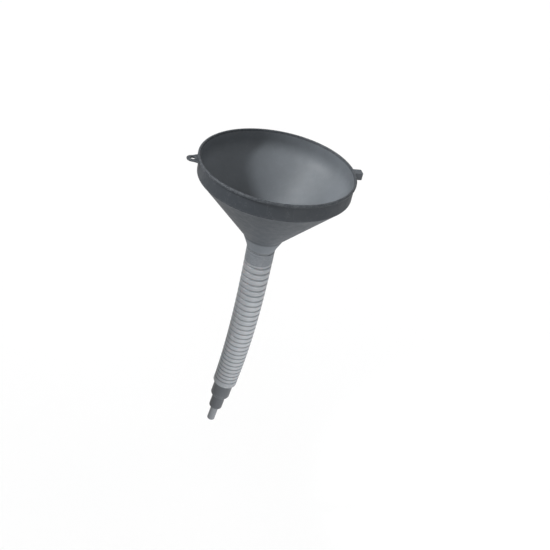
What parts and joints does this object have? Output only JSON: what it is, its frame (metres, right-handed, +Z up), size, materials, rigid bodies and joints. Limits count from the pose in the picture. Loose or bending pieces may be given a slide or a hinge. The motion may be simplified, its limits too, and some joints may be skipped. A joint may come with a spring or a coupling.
{
  "type": "funnel with flexible spout",
  "caption": "Plastic funnel with a straight-sided mouth, hanging eye and hook, a lift-out strainer, a flexible corrugated spout that bends and swivels, and a stepped nozzle.",
  "frame": {"origin": "centre of the mouth, at the top of the bowl's straight wall, in the middle of the rim bead", "axes": "+Z up out of the mouth, along the bowl's axis; the spout hangs towards -Z and bends a little towards -X; the hanging eye is on the -X side and the hook on the +X side"},
  "size_m": [0.2235, 0.2068, 0.4641],
  "materials": {
    "bowl_plastic": "satin",
    "ring_rubber": "matte",
    "strainer_plastic": "satin",
    "gauze_brass": "satin",
    "cuff_plastic": "satin",
    "spout_plastic": "satin",
    "nozzle_plastic": "satin"
  },
  "bodies": {
    "bowl": {"bowl": "bowl_plastic"},
    "strainer": {"strainer_frame": "strainer_plastic", "strainer_gauze": "gauze_brass"},
    "collar": {"coupling_ring": "ring_rubber"},
    "spout_head": {"spout_cuff": "cuff_plastic"},
    "fold_01": {"spout_fold_01": "spout_plastic"},
    "fold_02": {"spout_fold_02": "spout_plastic"},
    "fold_03": {"spout_fold_03": "spout_plastic"},
    "fold_04": {"spout_fold_04": "spout_plastic"},
    "fold_05": {"spout_fold_05": "spout_plastic"},
    "fold_06": {"spout_fold_06": "spout_plastic"},
    "fold_07": {"spout_fold_07": "spout_plastic"},
    "fold_08": {"spout_fold_08": "spout_plastic"},
    "fold_09": {"spout_fold_09": "spout_plastic"},
    "fold_10": {"spout_fold_10": "spout_plastic"},
    "fold_11": {"spout_fold_11": "spout_plastic"},
    "fold_12": {"spout_fold_12": "spout_plastic"},
    "fold_13": {"spout_fold_13": "spout_plastic"},
    "fold_14": {"spout_fold_14": "spout_plastic"},
    "fold_15": {"spout_fold_15": "spout_plastic"},
    "fold_16": {"spout_fold_16": "spout_plastic"},
    "fold_17": {"spout_fold_17": "spout_plastic"},
    "fold_18": {"spout_fold_18": "spout_plastic"},
    "fold_19": {"spout_fold_19": "spout_plastic"},
    "fold_20": {"spout_fold_20": "spout_plastic"},
    "fold_21": {"spout_fold_21": "spout_plastic"},
    "fold_22": {"spout_fold_22": "spout_plastic"},
    "fold_23": {"spout_fold_23": "spout_plastic"},
    "fold_24": {"spout_fold_24": "spout_plastic"},
    "fold_25": {"spout_fold_25": "spout_plastic"},
    "fold_26": {"spout_fold_26": "spout_plastic"},
    "nozzle_end": {"spout_tail": "spout_plastic", "nozzle": "nozzle_plastic"}
  },
  "joints": [
    {"name": "strainer_lift", "type": "slide", "parent": "bowl", "child": "strainer", "axis": [0, 0, 1], "range_m": [0, 0.13]},
    {"name": "spout_pull_off", "type": "slide", "parent": "bowl", "child": "collar", "axis": [0, 0, -1], "range_m": [0, 0.03]},
    {"name": "spout_swivel", "type": "hinge", "parent": "collar", "child": "spout_head", "pos_m": [0, 0, -0.1328], "axis": [0, 0, 1], "continuous": true},
    {"name": "side_flex_01", "type": "hinge", "parent": "spout_head", "child": "fold_01", "pos_m": [0, 0, -0.1505], "axis": [0, 1, 0], "range_deg": [-5.2, 5.2]},
    {"name": "fore_flex_02", "type": "hinge", "parent": "fold_01", "child": "fold_02", "pos_m": [-0.00002, 0, -0.1602], "axis": [1, 0, -0.0023], "range_deg": [-5.2, 5.2]},
    {"name": "side_flex_03", "type": "hinge", "parent": "fold_02", "child": "fold_03", "pos_m": [-0.00007, 0, -0.16979], "axis": [0, 1, 0], "range_deg": [-5.2, 5.2]},
    {"name": "fore_flex_04", "type": "hinge", "parent": "fold_03", "child": "fold_04", "pos_m": [-0.00016, 0, -0.17928], "axis": [1, 0, -0.0087], "range_deg": [-5.2, 5.2]},
    {"name": "side_flex_05", "type": "hinge", "parent": "fold_04", "child": "fold_05", "pos_m": [-0.00027, 0, -0.18866], "axis": [0, 1, 0], "range_deg": [-5.2, 5.2]},
    {"name": "fore_flex_06", "type": "hinge", "parent": "fold_05", "child": "fold_06", "pos_m": [-0.00042, 0, -0.19794], "axis": [0.9999, 0, -0.0161], "range_deg": [-5.2, 5.2]},
    {"name": "side_flex_07", "type": "hinge", "parent": "fold_06", "child": "fold_07", "pos_m": [-0.00061, 0, -0.20711], "axis": [0, 1, 0], "range_deg": [-5.2, 5.2]},
    {"name": "fore_flex_08", "type": "hinge", "parent": "fold_07", "child": "fold_08", "pos_m": [-0.00083, 0, -0.21617], "axis": [0.9997, 0, -0.0242], "range_deg": [-5.2, 5.2]},
    {"name": "side_flex_09", "type": "hinge", "parent": "fold_08", "child": "fold_09", "pos_m": [-0.00108, 0, -0.22512], "axis": [0, 1, 0], "range_deg": [-5.2, 5.2]},
    {"name": "fore_flex_10", "type": "hinge", "parent": "fold_09", "child": "fold_10", "pos_m": [-0.00137, 0, -0.23397], "axis": [0.9995, 0, -0.0327], "range_deg": [-5.2, 5.2]},
    {"name": "side_flex_11", "type": "hinge", "parent": "fold_10", "child": "fold_11", "pos_m": [-0.00169, 0, -0.24271], "axis": [0, 1, 0], "range_deg": [-5.2, 5.2]},
    {"name": "fore_flex_12", "type": "hinge", "parent": "fold_11", "child": "fold_12", "pos_m": [-0.00205, 0, -0.25134], "axis": [0.9991, 0, -0.0416], "range_deg": [-5.2, 5.2]},
    {"name": "side_flex_13", "type": "hinge", "parent": "fold_12", "child": "fold_13", "pos_m": [-0.00245, 0, -0.25987], "axis": [0, 1, 0], "range_deg": [-5.2, 5.2]},
    {"name": "fore_flex_14", "type": "hinge", "parent": "fold_13", "child": "fold_14", "pos_m": [-0.00288, 0, -0.26828], "axis": [0.9987, 0, -0.0508], "range_deg": [-5.2, 5.2]},
    {"name": "side_flex_15", "type": "hinge", "parent": "fold_14", "child": "fold_15", "pos_m": [-0.00334, 0, -0.27659], "axis": [0, 1, 0], "range_deg": [-5.2, 5.2]},
    {"name": "fore_flex_16", "type": "hinge", "parent": "fold_15", "child": "fold_16", "pos_m": [-0.00383, 0, -0.28479], "axis": [0.9982, 0, -0.0603], "range_deg": [-5.2, 5.2]},
    {"name": "side_flex_17", "type": "hinge", "parent": "fold_16", "child": "fold_17", "pos_m": [-0.00436, 0, -0.29289], "axis": [0, 1, 0], "range_deg": [-5.2, 5.2]},
    {"name": "fore_flex_18", "type": "hinge", "parent": "fold_17", "child": "fold_18", "pos_m": [-0.00492, 0, -0.30087], "axis": [0.9975, 0, -0.0701], "range_deg": [-5.2, 5.2]},
    {"name": "side_flex_19", "type": "hinge", "parent": "fold_18", "child": "fold_19", "pos_m": [-0.00551, 0, -0.30875], "axis": [0, 1, 0], "range_deg": [-5.2, 5.2]},
    {"name": "fore_flex_20", "type": "hinge", "parent": "fold_19", "child": "fold_20", "pos_m": [-0.00614, 0, -0.31651], "axis": [0.9968, 0, -0.0801], "range_deg": [-5.2, 5.2]},
    {"name": "side_flex_21", "type": "hinge", "parent": "fold_20", "child": "fold_21", "pos_m": [-0.00679, 0, -0.32417], "axis": [0, 1, 0], "range_deg": [-5.2, 5.2]},
    {"name": "fore_flex_22", "type": "hinge", "parent": "fold_21", "child": "fold_22", "pos_m": [-0.00748, 0, -0.33172], "axis": [0.9959, 0, -0.0902], "range_deg": [-5.2, 5.2]},
    {"name": "side_flex_23", "type": "hinge", "parent": "fold_22", "child": "fold_23", "pos_m": [-0.00819, 0, -0.33916], "axis": [0, 1, 0], "range_deg": [-5.2, 5.2]},
    {"name": "fore_flex_24", "type": "hinge", "parent": "fold_23", "child": "fold_24", "pos_m": [-0.00893, 0, -0.34649], "axis": [0.9949, 0, -0.1006], "range_deg": [-5.2, 5.2]},
    {"name": "side_flex_25", "type": "hinge", "parent": "fold_24", "child": "fold_25", "pos_m": [-0.0097, 0, -0.35371], "axis": [0, 1, 0], "range_deg": [-5.2, 5.2]},
    {"name": "fore_flex_26", "type": "hinge", "parent": "fold_25", "child": "fold_26", "pos_m": [-0.0105, 0, -0.36082], "axis": [0.9938, 0, -0.1112], "range_deg": [-5.2, 5.2]},
    {"name": "side_flex_27", "type": "hinge", "parent": "fold_26", "child": "nozzle_end", "pos_m": [-0.01132, 0, -0.36783], "axis": [0, 1, 0], "range_deg": [-5.2, 5.2]}
  ],
  "couplings": [
    {"joint": "side_flex_03", "follows": "side_flex_01", "ratio": 1},
    {"joint": "fore_flex_04", "follows": "fore_flex_02", "ratio": 1},
    {"joint": "side_flex_05", "follows": "side_flex_01", "ratio": 1},
    {"joint": "fore_flex_06", "follows": "fore_flex_02", "ratio": 1},
    {"joint": "side_flex_07", "follows": "side_flex_01", "ratio": 1},
    {"joint": "fore_flex_08", "follows": "fore_flex_02", "ratio": 1},
    {"joint": "side_flex_09", "follows": "side_flex_01", "ratio": 1},
    {"joint": "fore_flex_10", "follows": "fore_flex_02", "ratio": 1},
    {"joint": "side_flex_11", "follows": "side_flex_01", "ratio": 1},
    {"joint": "fore_flex_12", "follows": "fore_flex_02", "ratio": 1},
    {"joint": "side_flex_13", "follows": "side_flex_01", "ratio": 1},
    {"joint": "fore_flex_14", "follows": "fore_flex_02", "ratio": 1},
    {"joint": "side_flex_15", "follows": "side_flex_01", "ratio": 1},
    {"joint": "fore_flex_16", "follows": "fore_flex_02", "ratio": 1},
    {"joint": "side_flex_17", "follows": "side_flex_01", "ratio": 1},
    {"joint": "fore_flex_18", "follows": "fore_flex_02", "ratio": 1},
    {"joint": "side_flex_19", "follows": "side_flex_01", "ratio": 1},
    {"joint": "fore_flex_20", "follows": "fore_flex_02", "ratio": 1},
    {"joint": "side_flex_21", "follows": "side_flex_01", "ratio": 1},
    {"joint": "fore_flex_22", "follows": "fore_flex_02", "ratio": 1},
    {"joint": "side_flex_23", "follows": "side_flex_01", "ratio": 1},
    {"joint": "fore_flex_24", "follows": "fore_flex_02", "ratio": 1},
    {"joint": "side_flex_25", "follows": "side_flex_01", "ratio": 1},
    {"joint": "fore_flex_26", "follows": "fore_flex_02", "ratio": 1},
    {"joint": "side_flex_27", "follows": "side_flex_01", "ratio": 1}
  ]
}
